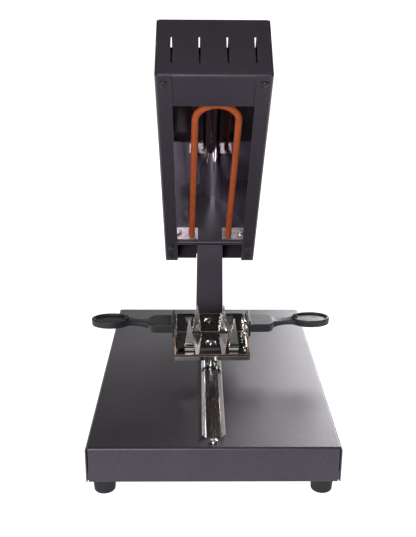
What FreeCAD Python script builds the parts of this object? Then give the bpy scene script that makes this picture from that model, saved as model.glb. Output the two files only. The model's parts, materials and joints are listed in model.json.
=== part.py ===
import FreeCAD, Part
import math
import os

# Raclette melter for a half wheel of cheese, in millimetres.
# While it is being built, X is to the right, Y runs from the front edge of the base towards the back
# and Z is up from the table. save() then moves everything so that the origin is in the middle of the
# outer box, at the table.

# ---------------------------------------------------------------- driving dimensions
base_width = 280.0
base_depth = 410.0
base_height = 42.0
foot_height = 20.0
sheet = 1.5                     # folded steel of base and head
bend = 1.5                      # inner bend radius of folded steel
thin = 1.2                      # bottom plate, element plates, terminal parts
polish = 1.0                    # polished stainless sheet of rail
gap = 0.3                       # clearance between parts that move or lie side by side
running = 0.05                  # radial clearance of pins and shafts

# feet
foot_top_radius = 13.2
foot_low_radius = 11.8
foot_inset = 18.0

# bottom plate
bottom_turn_up = 12.0           # its edges along the side walls

# rail
rail_front = 20.0
rail_back = 335.0
rail_floor = 18.0
rail_mouth = 26.5
rail_height = 4.0
stop_y = 13.0

# post and hinge
post_top_width = 37.4           # the post widens downwards
post_foot_width = 41.0          # at the base top
post_depth = 20.0
post_front = 361.0
post_rise = 120.0               # above the base top
post_sheet = 1.6
pivot_below_top = 10.0
pivot_behind_front = 9.6
pin_radius = 3.0

# heating head; a runs from its lower end to its upper end, b from its open side to its back
head_width = 132.6
head_length = 377.0
head_thickness = 94.0
head_angle = 50.6               # above horizontal, at rest
pivot_a = 24.6
pivot_b = 3.0
side_flange = 18.6
back_flange = 14.0
strip_length = 48.0
terminal_a = 46.0
reflector_behind = 8.0          # from the hollow face of the reflector to the back of the head
reflector_side = 3.627          # from the edge of the reflector to the side of the head
panel_gap = 0.8                 # beside the upper end plate
slot_pitch = 32.0
back_slot_pitch = 33.7
slot_width = 2.5
slot_low = 21.0                 # start of the end plate's slots, from the open side
slot_behind = 30.0              # from their other end to the back of the head
block_behind = 14.0             # from the terminal block to the back of the head

# heating element
tube_radius = 4.25
leg_x = 26.5
leg_b = 13.8
element_lean = 1.2              # the element stands slightly out of square, in degrees

# plates round the element on the terminal wall
plate_inner = 17.8
plate_clear = 0.85              # from its outer upper corner to the reflector
plate_low = 5.4
plate_high = 26.4
plate_margin = 6.4              # from its outer edge to its screw
plate_screw_b = 16.4

# cable gland and rocker switch on the lower end wall
gland_x = 38.0
gland_behind = 32.0             # from its middle to the back of the head
switch_x = 38.0
switch_behind = 32.0
plug_x = 40.5                   # small plug beside the post
plug_b = 7.5
plug_length = 5.0
plug_width = 2.0
plug_proud = 0.4                # past each face of the wall
axle_depth = 2.3                # axle of the rocker behind the wall's outer face
axle_radius = 1.0

# carriage and tray
tray_y = 201.0                  # swivel axis
tray_yaw = 1.2                  # swivel of the tray as it is left standing
tray_floor = 35.3               # top of the cheese plate above the base top
tray_width = 96.0
tray_front = -36.5              # from the swivel axis
lip_drop = 9.0
rear_turn_up = 11.0
cradle_front = -13.0
cradle_back = 39.2
cradle_rise = 25.2
spike_height = 41.0
spike_base = 12.5
front_spike_x = 28.6
front_spike_y = -18.0
rear_spike_y = 30.0
spike_bend = 3.5
rear_spike_x = 17.8
stud_radius = 3.0
shoulder_radius = 5.0

# handles
handle_reach = 156.4
handle_y = 12.5                 # middle of the handle behind the swivel axis
flange_length = 42.0
flange_low = 10.6               # below the middle of the handle
flange_high = 11.0
block_length = 30.0
block_width = 36.5
oval_length = 50.0
oval_width = 34.0
oval_height = 9.3
dish_depth = 2.4

# ---------------------------------------------------------------- derived values
base_top = foot_height + base_height
half_width = base_width / 2
half_head = head_width / 2
pivot_y = post_front + pivot_behind_front
pivot_z = base_top + post_rise - pivot_below_top
tilt = math.radians(head_angle)
rear_reach = pivot_y + pivot_a * math.cos(tilt) + (head_thickness - pivot_b) * math.sin(tilt)
total_depth = max(rear_reach, base_depth)
floor_z = base_top + tray_floor
inner_head = half_head - sheet - gap
strip_start = head_length - strip_length
reflector_end = strip_start - 4.0
reflector_top = head_thickness - reflector_behind
reflector_half = half_head - reflector_side
reflector_curve = (reflector_top - sheet - running) / reflector_half ** 2
plate_outer = math.sqrt((reflector_top - plate_high) / reflector_curve) - plate_clear
plate_screw_x = plate_outer - plate_margin
inner_post = post_top_width / 2 - post_sheet
slot_high = head_thickness - slot_behind
gland_b = head_thickness - gland_behind
switch_b = head_thickness - switch_behind
block_high = head_thickness - block_behind
tray_back = cradle_back - 2 * sheet - gap

V = FreeCAD.Vector
X_AXIS = V(1, 0, 0)
Y_AXIS = V(0, 1, 0)
Z_AXIS = V(0, 0, 1)


# ---------------------------------------------------------------- shape helpers
def box(x0, x1, y0, y1, z0, z1):
    """Box between two corners."""
    return Part.makeBox(x1 - x0, y1 - y0, z1 - z0, V(x0, y0, z0))


def rod(start, axis, radius, length):
    """Round bar from a point along an axis."""
    return Part.makeCylinder(radius, length, start, axis)


def rounded_wire(points, radii):
    """Closed wire through the points, each corner rounded by its own radius."""
    corners = []
    count = len(points)
    for i in range(count):
        corner = points[i]
        back = (points[i - 1] - corner).normalize()
        ahead = (points[(i + 1) % count] - corner).normalize()
        half = back.getAngle(ahead) / 2
        radius = radii[i]
        if radius < 1e-6 or half > math.pi / 2 - 1e-4:
            corners.append((corner, None, corner))
            continue
        reach = radius / math.tan(half)
        middle = corner + (back + ahead).normalize() * (radius / math.sin(half) - radius)
        corners.append((corner + back * reach, middle, corner + ahead * reach))
    edges = []
    for i in range(count):
        first, middle, last = corners[i]
        if middle is not None:
            edges.append(Part.Arc(first, middle, last).toShape())
        following = corners[(i + 1) % count][0]
        if last.distanceToPoint(following) > 1e-6:
            edges.append(Part.LineSegment(last, following).toShape())
    return Part.Wire(edges)


def slab(points, extrude, radius=0.0):
    """Flat outline swept along a vector, all its corners rounded by one radius."""
    wire = rounded_wire(points, [radius] * len(points))
    return Part.Face(wire).extrude(extrude)


def fold_wire(path, thickness, inner_radius, normal):
    """Outline of a bent sheet: path is one face of it, the metal lies to the side of normal x path."""
    sides = []
    for first, last in zip(path, path[1:]):
        sides.append(normal.cross(last - first).normalize())
    inside = [path[0] + sides[0] * thickness]
    path_radii = [0.0]
    inside_radii = [0.0]
    for i in range(1, len(path) - 1):
        mitre = sides[i - 1] + sides[i]
        inside.append(path[i] + mitre * (thickness / (1 + sides[i - 1].dot(sides[i]))))
        outside = (path[i + 1] - path[i]).dot(sides[i - 1]) * thickness > 0
        path_radii.append(inner_radius + (abs(thickness) if outside else 0.0))
        inside_radii.append(inner_radius + (0.0 if outside else abs(thickness)))
    inside.append(path[-1] + sides[-1] * thickness)
    path_radii.append(0.0)
    inside_radii.append(0.0)
    return rounded_wire(path + inside[::-1], path_radii + inside_radii[::-1])


def fold(path, thickness, inner_radius, extrude):
    """Bent sheet swept along a vector."""
    wire = fold_wire(path, thickness, inner_radius, V(extrude).normalize())
    return Part.Face(wire).extrude(extrude)


def fuse(shapes):
    """One solid from touching or overlapping shapes."""
    return shapes[0].multiFuse(shapes[1:]).removeSplitter()


def mirrored(shape):
    """The same shape on the other side of the middle plane."""
    return shape.mirror(V(0, 0, 0), X_AXIS)


def turned(shape, origin, axis):
    """Bring a shape made along +Z at the origin to another place and direction."""
    copy = shape.copy()
    copy.Placement = FreeCAD.Placement(origin, FreeCAD.Rotation(Z_AXIS, axis))
    return copy


def pan_screw(origin, axis, head_radius, head_height, shank_radius, shank_length):
    """Pan-head cross-recess screw; axis points out of the head, origin is under the head."""
    head = rod(V(0, 0, 0), Z_AXIS, head_radius, head_height)
    rim = [edge for edge in head.Edges if abs(edge.BoundBox.ZMin - head_height) < 1e-6
           and edge.BoundBox.XLength > head_radius]
    head = head.makeFillet(min(head_height * 0.7, head_radius * 0.5), rim)
    shank = rod(V(0, 0, -shank_length), Z_AXIS, shank_radius, shank_length + head_height / 2)
    screw = fuse([head, shank])
    arm = head_radius * 0.55
    width = head_radius * 0.12
    sink = head_height * 0.45
    for cross in (box(-arm, arm, -width, width, sink, head_height + 1),
                  box(-width, width, -arm, arm, sink, head_height + 1)):
        screw = screw.cut(cross)
    return turned(screw, origin, axis)


def hex_prism(origin, axis, across, height):
    """Hexagon bar across the flats."""
    radius = across / math.sqrt(3)
    corners = [V(radius * math.cos(math.radians(60 * i)), radius * math.sin(math.radians(60 * i)), 0)
               for i in range(6)]
    return turned(slab(corners, V(0, 0, height)), origin, axis)


def washer(origin, axis, outer, inner, height):
    """Flat ring."""
    return rod(origin, axis, outer, height).cut(rod(origin, axis, inner, height))


def save(shapes, node):
    """Write one node, with the origin moved to the middle of the outer box."""
    solids = shapes if isinstance(shapes, list) else [shapes]
    moved = []
    for shape in solids:
        copy = shape.copy()
        copy.translate(V(0, -total_depth / 2, 0))
        moved.extend(copy.Solids)
    whole = moved[0] if len(moved) == 1 else Part.makeCompound(moved)
    whole.exportStep("parts/" + node + ".step")


def save_head(shapes, node):
    """Write one node of the head, which is built lying flat with its open side down."""
    solids = shapes if isinstance(shapes, list) else [shapes]
    placed = []
    for shape in solids:
        copy = shape.copy()
        copy.translate(V(0, pivot_a, -pivot_b))
        copy.rotate(V(0, 0, 0), X_AXIS, -head_angle)
        copy.translate(V(0, pivot_y, pivot_z))
        placed.append(copy)
    save(placed, node)


def save_tray(shapes, node):
    """Write one node of the tray, which is built about its swivel axis."""
    solids = shapes if isinstance(shapes, list) else [shapes]
    placed = []
    for shape in solids:
        copy = shape.copy()
        copy.rotate(V(0, 0, 0), Z_AXIS, tray_yaw)
        copy.translate(V(0, tray_y, 0))
        placed.append(copy)
    save(placed, node)


def head_point(x, a, b):
    """Point of the head while it lies flat."""
    return V(x, -a, b)


def head_box(x0, x1, a0, a1, b0, b1):
    """Box in the head while it lies flat."""
    return box(x0, x1, -a1, -a0, b0, b1)


# ---------------------------------------------------------------- base
def base_shell():
    """Folded steel cover of the base: side walls outside, front and back walls between them."""
    low = foot_height
    outer_bend = sheet + bend
    inner_x = half_width - outer_bend
    side_path = [V(half_width, 0, low), V(half_width, 0, base_top), V(inner_x, 0, base_top)]
    side = fold(side_path, -sheet, bend, V(0, base_depth, 0))
    long_path = [V(-inner_x, 0, low), V(-inner_x, 0, base_top),
                 V(-inner_x, base_depth, base_top), V(-inner_x, base_depth, low)]
    long_part = fold(long_path, -sheet, bend, V(2 * inner_x, 0, 0))
    shell = fuse([long_part, side, mirrored(side)])
    relief = base_width / 2 - sheet - inner_x
    for y0 in (0, base_depth - outer_bend):
        for sign in (-1, 1):
            x0 = sign * inner_x
            x1 = sign * (inner_x + relief)
            shell = shell.cut(box(min(x0, x1), max(x0, x1), y0, y0 + outer_bend, base_top - outer_bend,
                                  base_top))
    hole = gap
    post_back = post_front + post_depth
    post_side = post_half(base_top - sheet) + hole
    shell = shell.cut(box(-post_side, post_side, post_front - hole, post_back + hole, base_top - 5,
                          base_top + 1))
    shell = shell.cut(rod(V(0, stop_y, base_top - 5), Z_AXIS, 2.1, 10))
    for y in side_screw_places():
        shell = shell.cut(rod(V(-half_width - 1, y, side_screw_z()), X_AXIS, 2.1, base_width + 2))
    return shell


def bottom_plate():
    """Plate that closes the base from below, turned up along both sides and screwed to the side walls."""
    side = half_width - sheet - gap / 3
    front = sheet + gap
    top = foot_height + bottom_turn_up
    path = [V(-side, front, top), V(-side, front, foot_height), V(side, front, foot_height),
            V(side, front, top)]
    plate = fold(path, -thin, bend, V(0, base_depth - 2 * front, 0))
    for x, y in foot_places():
        plate = plate.cut(rod(V(x, y, foot_height - 1), Z_AXIS, 2.1, 5))
    for y in side_screw_places():
        plate = plate.cut(rod(V(-half_width, y, side_screw_z()), X_AXIS, 1.8, base_width))
    return plate


def side_screw_places():
    """Two screws in each side wall of the base."""
    return (base_depth / 6, base_depth * 5 / 6)


def side_screw_z():
    """Height of the screws in the side walls."""
    return foot_height + bottom_turn_up * 2 / 3


def foot_places():
    """Centres of the four feet."""
    x = half_width - foot_inset
    return [(-x, foot_inset), (x, foot_inset), (-x, base_depth - foot_inset), (x, base_depth - foot_inset)]


def foot(x, y):
    """Tapered rubber foot with a recess for its screw."""
    body = Part.makeCone(foot_low_radius, foot_top_radius, foot_height, V(x, y, 0), Z_AXIS)
    low = [edge for edge in body.Edges if edge.BoundBox.ZMax < 0.01]
    body = body.makeFillet(1.5, low)
    body = body.cut(rod(V(x, y, -1), Z_AXIS, 5.0, 8))
    return body.cut(rod(V(x, y, 0), Z_AXIS, 2.1, foot_height + 1))


def foot_screw(x, y):
    """Pan-head screw that holds a foot to the bottom plate, with its nut."""
    screw = pan_screw(V(x, y, 7), V(0, 0, -1), 4.2, 2.6, 2.0, 13)
    nut = hex_prism(V(x, y, foot_height + thin), Z_AXIS, 7.0, 3.0).cut(
        rod(V(x, y, 0), Z_AXIS, 2.0 + running, 40))
    return [screw, nut]


def slide_rail():
    """Polished trough that lies on the base and guides the foot of the tray."""
    half = rail_floor / 2
    path = [V(-rail_mouth / 2, rail_front, base_top + rail_height), V(-half, rail_front, base_top),
            V(half, rail_front, base_top), V(rail_mouth / 2, rail_front, base_top + rail_height)]
    return fold(path, -polish, 1.5, V(0, rail_back - rail_front, 0))


def post_half(z):
    """Half the width of the tapered post at a height."""
    share = (z - base_top) / post_rise
    return (post_foot_width + (post_top_width - post_foot_width) * share) / 2


def post():
    """Channel post, open to the back, with the hinge holes near its top."""
    back = post_front + post_depth
    wires = []
    for z in (foot_height + thin, base_top + post_rise):
        half = post_half(z)
        path = [V(-half, back, z), V(-half, post_front, z), V(half, post_front, z), V(half, back, z)]
        wires.append(fold_wire(path, post_sheet, 1.2, Z_AXIS))
    channel = Part.makeLoft(wires, True, True)
    channel = channel.cut(rod(V(-post_foot_width, pivot_y, pivot_z), X_AXIS, pin_radius + running,
                              2 * post_foot_width))
    for z in post_bolt_heights():
        channel = channel.cut(rod(V(0, post_front - 1, z), Y_AXIS, 3.1, 5))
    return channel


def post_bolt_heights():
    """Heights of the two bolts that hold the post inside the base."""
    return (base_top - 12, base_top - 29)


def post_bracket():
    """Angle bracket inside the base, in front of the post and under the base top."""
    width = post_top_width / 2 - 2
    front = post_front - gap / 3
    top = base_top - sheet
    path = [V(-width, front - 30, top), V(-width, front, top), V(-width, front, foot_height + thin + 4)]
    bracket = fold(path, -2.5, 1.5, V(2 * width, 0, 0))
    for z in post_bolt_heights():
        bracket = bracket.cut(rod(V(0, front - 5, z), Y_AXIS, 3.1, 8))
    return bracket


def post_bolt(z):
    """Hexagon bolt through the post and its bracket, head inside the channel."""
    head = hex_prism(V(0, post_front + post_sheet, z), Y_AXIS, 10.0, 4.0)
    shank = rod(V(0, post_front - 12, z), Y_AXIS, 3.0, 13.6)
    nut = hex_prism(V(0, post_front - gap / 3 - 2.5 - 5, z), Y_AXIS, 10.0, 5.0).cut(
        rod(V(0, post_front - 20, z), Y_AXIS, 3.0 + running, 20))
    return [fuse([head, shank]), nut]


def make_base():
    save(base_shell(), "base_shell")
    save(bottom_plate(), "bottom_plate")
    names = ("front_left", "front_right", "rear_left", "rear_right")
    screws = []
    for name, place in zip(names, foot_places()):
        save(foot(*place), "foot_" + name)
        screws += foot_screw(*place)
    save(screws, "foot_screws")
    screws = []
    for sign in (-1, 1):
        for y in side_screw_places():
            screws.append(pan_screw(V(sign * half_width, y, side_screw_z()), V(sign, 0, 0), 3.6, 2.2, 1.75,
                                    6.5))
    save(screws, "bottom_plate_screws")
    save(slide_rail(), "slide_rail")
    save(pan_screw(V(0, stop_y, base_top), Z_AXIS, 4.6, 3.0, 2.0, 8), "rail_stop_screw")
    save(post(), "post")
    save(post_bracket(), "post_bracket")
    bolts = []
    for z in post_bolt_heights():
        bolts += post_bolt(z)
    save(bolts, "post_bolts")
    pin_half = post_half(pivot_z)
    save(rod(V(-pin_half, pivot_y, pivot_z), X_AXIS, pin_radius, 2 * pin_half), "hinge_pin")


# ---------------------------------------------------------------- head
def head_side(sign):
    """Side panel with a flange along the open side and one along the back."""
    path = [head_point(half_head - side_flange, 0, 0), head_point(half_head, 0, 0),
            head_point(half_head, 0, head_thickness - sheet - 0.1),
            head_point(half_head - back_flange, 0, head_thickness - sheet - 0.1)]
    panel = fold(path, sheet, bend, V(0, -head_length, 0))
    panel = panel.cut(head_box(0, half_head - sheet, head_length - sheet - bend, head_length + 1, sheet,
                               head_thickness))
    for a in flange_screw_places():
        panel = panel.cut(rod(head_point(screw_x(), a, -1), Z_AXIS, 2.1, 5))
    for a in cover_screw_places():
        panel = panel.cut(rod(head_point(cover_screw_x(), a, head_thickness - 5), Z_AXIS, 1.8, 10))
    return panel if sign > 0 else mirrored(panel)


def screw_x():
    """Distance of the flange screws from the middle."""
    return half_head - side_flange / 2


def flange_screw_places():
    """Screws along a side flange: end wall, terminal wall and cross strip."""
    return (8.5, 36.5, head_length - 11.5)


def cover_screw_places():
    """Screws of the cover along each back flange."""
    return (38.0, head_length / 2, head_length - 38.0)


def cover_screw_x():
    """Distance of the cover screws from the middle."""
    return half_head - back_flange / 2 - 0.5


def head_cover():
    """One bent sheet: cross strip on the open side, upper end plate between the side panels, and back."""
    path = [head_point(-half_head, strip_start, sheet), head_point(-half_head, head_length, sheet),
            head_point(-half_head, head_length, head_thickness), head_point(-half_head, 0, head_thickness)]
    cover = fold(path, -sheet, bend, V(head_width, 0, 0))
    end_half = half_head - sheet - panel_gap
    for sign in (-1, 1):
        cover = cover.cut(side_cutter(sign, end_half, strip_start - 1, head_length + 1, 0,
                                      head_thickness / 2))
        cover = cover.cut(side_cutter(sign, end_half, head_length - sheet - bend, head_length + 1, 0,
                                      head_thickness + 1))
        cover = cover.cut(side_cutter(sign, inner_head - bend, strip_start - 1, head_length + 1, 0,
                                      2 * sheet + gap))
        cover = cover.cut(rod(head_point(sign * screw_x(), head_length - 11.5, 0), Z_AXIS, 1.8, 5))
        for a in cover_screw_places():
            cover = cover.cut(rod(head_point(sign * cover_screw_x(), a, head_thickness - 5), Z_AXIS, 2.1, 10))
    half = slot_width / 2
    end = head_length + 1
    back = head_thickness - 5
    for i in range(4):
        x = (i - 1.5) * slot_pitch
        end_slot = [head_point(x - half, end, slot_low), head_point(x + half, end, slot_low),
                    head_point(x + half, end, slot_high), head_point(x - half, end, slot_high)]
        cover = cover.cut(slab(end_slot, V(0, 10, 0), half - 0.01))
        x = (i - 1.5) * back_slot_pitch
        near = head_length - 12
        far = head_length - 44
        back_slot = [head_point(x - half, near, back), head_point(x + half, near, back),
                     head_point(x + half, far, back), head_point(x - half, far, back)]
        cover = cover.cut(slab(back_slot, V(0, 0, 10), half - 0.01))
    return cover


def side_cutter(sign, inner_x, a0, a1, b0, b1):
    """Box that takes away everything outside a width, on one side of the head."""
    x0 = sign * inner_x
    x1 = sign * (half_head + 1)
    return head_box(min(x0, x1), max(x0, x1), a0, a1, b0, b1)


def end_wall():
    """Lower end of the head, with foot tabs, a notch for the post and the openings of switch and gland."""
    plate_a = sheet
    path = [head_point(-inner_head, 16, sheet + 0.05), head_point(-inner_head, plate_a, sheet + 0.05),
            head_point(-inner_head, plate_a, head_thickness - 3 * sheet)]
    wall = fold(path, sheet, bend, V(2 * inner_head, 0, 0))
    middle = half_head - side_flange - gap
    wall = wall.cut(head_box(-middle, middle, plate_a + 2 * sheet, 20, 0, 10))
    wall = wall.cut(head_box(-middle, middle, 0, 20, 0, sheet + bend))
    notch = post_half(pivot_z - 30) + 0.4
    wall = wall.cut(head_box(-notch, notch, 0, 20, 0, 11))
    wall = wall.cut(plug_box(0, 0, 2 * sheet))
    for sign in (-1, 1):
        wall = wall.cut(side_cutter(sign, inner_head - bend, 0, 20, 0, 2 * sheet + gap))
        wall = wall.cut(rod(head_point(sign * screw_x(), 8.5, 0), Z_AXIS, 1.8, 5))
    wall = wall.cut(rod(head_point(gland_x, 10, gland_b), Y_AXIS, 6.1, 12))
    return wall.cut(head_box(-switch_x - 10.1, -switch_x + 10.1, 0, 10, switch_b - 7.1, switch_b + 7.1))


def plug_box(clearance, low, high):
    """Block through the small slot of the end wall, left of the post."""
    length = plug_length / 2 - clearance
    width = plug_width / 2 - clearance
    return head_box(-plug_x - length, -plug_x + length, low, high, plug_b - width, plug_b + width)


def wall_plug():
    """Plastic plug in the end wall's small slot."""
    return plug_box(running, -plug_proud, 2 * sheet + plug_proud)


def terminal_wall():
    """Wall that the element passes through, with a rolled lower lip and screw tabs."""
    back = terminal_a
    front = terminal_a + sheet
    top = head_thickness - 3 * sheet
    middle = half_head - side_flange - gap
    lip_path = [head_point(-middle, back - 4, 0.1), head_point(-middle, front, 0.1),
                head_point(-middle, front, top)]
    lip = fold(lip_path, -sheet, bend, V(2 * middle, 0, 0))
    tab_path = [head_point(middle - 5, back - 18, sheet + 0.05), head_point(middle - 5, front, sheet + 0.05),
                head_point(middle - 5, front, top)]
    tab = fold(tab_path, -sheet, bend, V(inner_head - middle + 5, 0, 0))
    tab = tab.cut(head_box(0, middle + gap, 0, back - 0.001, 0, 10))
    tab = tab.cut(rod(head_point(screw_x(), 36.5, 0), Z_AXIS, 1.8, 5))
    wall = fuse([lip, tab, mirrored(tab)])
    for sign in (-1, 1):
        wall = wall.cut(side_cutter(sign, inner_head - bend, 0, front + 1, 0, 2 * sheet + gap))
        wall = wall.cut(rod(head_point(sign * leg_x, back - 1, leg_b), V(0, -1, 0), 5.1, 5))
        wall = wall.cut(rod(head_point(sign * plate_screw_x, back - 1, plate_screw_b), V(0, -1, 0), 2.1, 5))
    return wall


def reflector_b(x):
    """Height of the reflector's hollow face over the open side."""
    return reflector_top - reflector_curve * x * x


def reflector():
    """Polished trough behind the element, parabolic in section."""
    thickness = 0.8
    start = terminal_a + sheet + gap
    steps = 24
    hollow = []
    outside = []
    for i in range(steps + 1):
        x = reflector_half * (2.0 * i / steps - 1.0)
        slope = -2 * reflector_curve * x
        scale = thickness / math.hypot(1, slope)
        hollow.append(head_point(x, start, reflector_b(x)))
        outside.append(head_point(x - slope * scale, start, reflector_b(x) + scale))
    inner = Part.BSplineCurve()
    inner.interpolate(hollow)
    outer = Part.BSplineCurve()
    outer.interpolate(outside)
    edges = [inner.toShape(), Part.LineSegment(hollow[-1], outside[-1]).toShape(), outer.toShape(),
             Part.LineSegment(outside[0], hollow[0]).toShape()]
    wire = Part.Wire(Part.__sortEdges__(edges))
    return Part.Face(wire).extrude(V(0, -(reflector_end - start), 0))


def reflector_end_plate():
    """Flat plate that closes the upper end of the reflector, with a foot along the cross strip."""
    start = reflector_end + gap
    low = 2 * sheet + 0.1
    path = [head_point(-inner_head, start, head_thickness - 3 * sheet), head_point(-inner_head, start, low),
            head_point(-inner_head, start + 16, low)]
    return fold(path, -sheet, bend, V(2 * inner_head, 0, 0))


def heating_element():
    """Bent tube: two straight legs and a half round, with a flat terminal on each cold end."""
    start = terminal_a - 11
    bend_start = strip_start - 37.5
    profile = Part.Wire([Part.Circle(head_point(-leg_x, start, leg_b), Y_AXIS, tube_radius).toShape()])
    left = Part.LineSegment(head_point(-leg_x, start, leg_b), head_point(-leg_x, bend_start, leg_b))
    top = Part.Arc(head_point(-leg_x, bend_start, leg_b), head_point(0, bend_start + leg_x, leg_b),
                   head_point(leg_x, bend_start, leg_b))
    right = Part.LineSegment(head_point(leg_x, bend_start, leg_b), head_point(leg_x, start, leg_b))
    path = Part.Wire([left.toShape(), top.toShape(), right.toShape()])
    tube = path.makePipeShell([profile], True, False)
    for x in (-leg_x, leg_x):
        tube = tube.fuse(head_box(x - 3.2, x + 3.2, start - 8, start + 1, leg_b - 0.4, leg_b + 0.4))
    tube.rotate(head_point(0, terminal_a, leg_b), Z_AXIS, element_lean)
    return tube


def element_plate(sign):
    """Light plate round one leg of the element, screwed to the terminal wall."""
    a = terminal_a + sheet
    points = [head_point(plate_inner, a, plate_low), head_point(plate_outer, a, plate_low),
              head_point(plate_outer, a, plate_high), head_point(plate_inner, a, plate_high)]
    plate = slab(points, V(0, -thin, 0), 2.0)
    plate = plate.cut(rod(head_point(leg_x, a - 1, leg_b), V(0, -1, 0), 5.1, 5))
    plate = plate.cut(rod(head_point(plate_screw_x, a - 1, plate_screw_b), V(0, -1, 0), 2.1, 5))
    return plate if sign > 0 else mirrored(plate)


def element_bush(sign):
    """Ceramic bush behind the terminal wall, round one leg of the element."""
    start = head_point(sign * leg_x, terminal_a, leg_b)
    return rod(start, Y_AXIS, 7.0, 6.0).cut(rod(start, Y_AXIS, tube_radius + gap, 6.0))


def hinge_bracket():
    """Two ears on the pin, joined by a plate on the end wall above the post's notch."""
    ear_outer = inner_post - 0.8
    ear = 2.0
    back = 2 * sheet
    web_low = 13.0
    web_high = 40.0
    points = [head_point(ear_outer, pivot_a + 7.5, pivot_b - 7.5),
              head_point(ear_outer, pivot_a + 7.5, pivot_b + 7.5),
              head_point(ear_outer, back + 12, web_high), head_point(ear_outer, back, web_high),
              head_point(ear_outer, back, web_low), head_point(ear_outer, pivot_a - 8, pivot_b - 7.5)]
    wire = rounded_wire(points, [7.4, 7.0, 3.0, 0.0, 0.0, 5.0])
    one = Part.Face(wire).extrude(V(-ear, 0, 0))
    web = head_box(-ear_outer, ear_outer, back, back + ear, web_low, web_high)
    bracket = fuse([one, mirrored(one), web])
    bracket = bracket.cut(rod(head_point(-30, pivot_a, pivot_b), X_AXIS, pin_radius + running, 60))
    return bracket


def hinge_washers():
    """Friction rings on the pin, between the ears and the walls of the post."""
    inner = inner_post - 0.8 + 0.05
    width = 0.65
    rings = []
    for x in (inner, -inner - width):
        rings.append(washer(head_point(x, pivot_a, pivot_b), X_AXIS, 6.5, pin_radius + running, width))
    return rings


def cord_gland():
    """Cable gland on the end wall: flange nut outside, body and clamping nut, with an open bore."""
    outer = head_point(gland_x, sheet, gland_b)
    flange = hex_prism(outer, Y_AXIS, 17.0, 4.0)
    dome = Part.makeCone(8.0, 5.5, 9.0, outer + V(0, 4, 0), Y_AXIS)
    body = rod(outer + V(0, -9, 0), Y_AXIS, 6.0, 10)
    nut = hex_prism(outer + V(0, -sheet - 4, 0), Y_AXIS, 15.0, 4.0)
    gland = fuse([flange, dome, body, nut])
    return gland.cut(rod(outer + V(0, -20, 0), Y_AXIS, 3.6, 50))


def switch_housing():
    """Frame and body of the rocker switch on the end wall."""
    x0 = -switch_x
    frame = box(x0 - 12, x0 + 12, -sheet, 0.5, switch_b - 9, switch_b + 9)
    body = box(x0 - 10, x0 + 10, -18, -sheet, switch_b - 7, switch_b + 7)
    housing = fuse([frame, body])
    housing = housing.cut(box(x0 - 9, x0 + 9, -8, 3, switch_b - 6, switch_b + 6))
    housing = housing.cut(rod(V(x0, -axle_depth, switch_b - 6.8), Z_AXIS, axle_radius + running, 13.6))
    for i in (-1, 1):
        housing = fuse([housing, box(x0 + 6 * i - 0.4, x0 + 6 * i + 0.4, -26, -18, switch_b - 2.4,
                                     switch_b + 2.4)])
    return housing


def switch_rocker():
    """Rocker with two sloping faces on a short round axle."""
    x0 = -switch_x
    points = [V(x0 - 8.2, -2.0, 0), V(x0 - 8.2, 2.4, 0), V(x0, 0.9, 0), V(x0 + 8.2, 2.4, 0),
              V(x0 + 8.2, -2.0, 0), V(x0, -5.5, 0)]
    rocker = slab([p + V(0, 0, switch_b - 5.5) for p in points], V(0, 0, 11), 0.5)
    return fuse([rocker, rod(V(x0, -axle_depth, switch_b - 6.5), Z_AXIS, axle_radius, 13)])


def terminal_block():
    """Two-way connector on the end wall, inside the terminal bay."""
    low = 2 * sheet
    block = head_box(-12, 12, low, low + 11, block_high - 14, block_high)
    for x in (-6, 6):
        block = block.cut(rod(head_point(x, low + 6, block_high - 20), Z_AXIS, 1.8, 30))
        block = block.cut(rod(head_point(x, low + 5, block_high - 7), V(0, -1, 0), 2.2, 10))
    return block


def make_head():
    for sign, side in ((-1, "left"), (1, "right")):
        save_head(head_side(sign), "head_side_" + side)
        save_head(element_plate(sign), "element_plate_" + side)
    save_head(head_cover(), "head_cover")
    save_head(end_wall(), "head_end_wall")
    save_head(wall_plug(), "wall_plug")
    save_head(terminal_wall(), "terminal_wall")
    save_head(reflector(), "reflector")
    save_head(reflector_end_plate(), "reflector_end_plate")
    save_head(heating_element(), "heating_element")
    save_head([element_bush(-1), element_bush(1)], "element_bushes")
    plate_screws = []
    flange_screws = []
    cover_screws = []
    for sign in (-1, 1):
        origin = head_point(sign * plate_screw_x, terminal_a + sheet + thin, plate_screw_b)
        plate_screws.append(pan_screw(origin, V(0, -1, 0), 4.7, 2.6, 2.0, 6))
        for a in flange_screw_places():
            flange_screws.append(pan_screw(head_point(sign * screw_x(), a, 0), V(0, 0, -1), 4.0, 2.4, 1.75,
                                           6.5))
        for a in cover_screw_places():
            cover_screws.append(pan_screw(head_point(sign * cover_screw_x(), a, head_thickness), Z_AXIS, 3.6,
                                          2.2, 1.75, 6.5))
    save_head(plate_screws, "element_plate_screws")
    save_head(flange_screws, "head_flange_screws")
    save_head(cover_screws, "cover_screws")
    save_head(hinge_bracket(), "hinge_bracket")
    save_head(hinge_washers(), "hinge_washers")
    save_head(cord_gland(), "cord_gland")
    save_head(switch_housing(), "switch_housing")
    save_head(switch_rocker(), "switch_rocker")
    save_head(terminal_block(), "terminal_block")


# ---------------------------------------------------------------- carriage
def glide_foot():
    """Round foot that runs in the trough."""
    low = base_top + polish + running
    disc = Part.makeCone(7.2, 7.6, 2.6, V(0, tray_y, low), Z_AXIS)
    collar = Part.makeCone(5.0, 4.0, 3.0, V(0, tray_y, low + 2.6), Z_AXIS)
    return fuse([disc, collar]).cut(rod(V(0, tray_y, low + 1.2), Z_AXIS, stud_radius + running / 2, 10))


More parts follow.
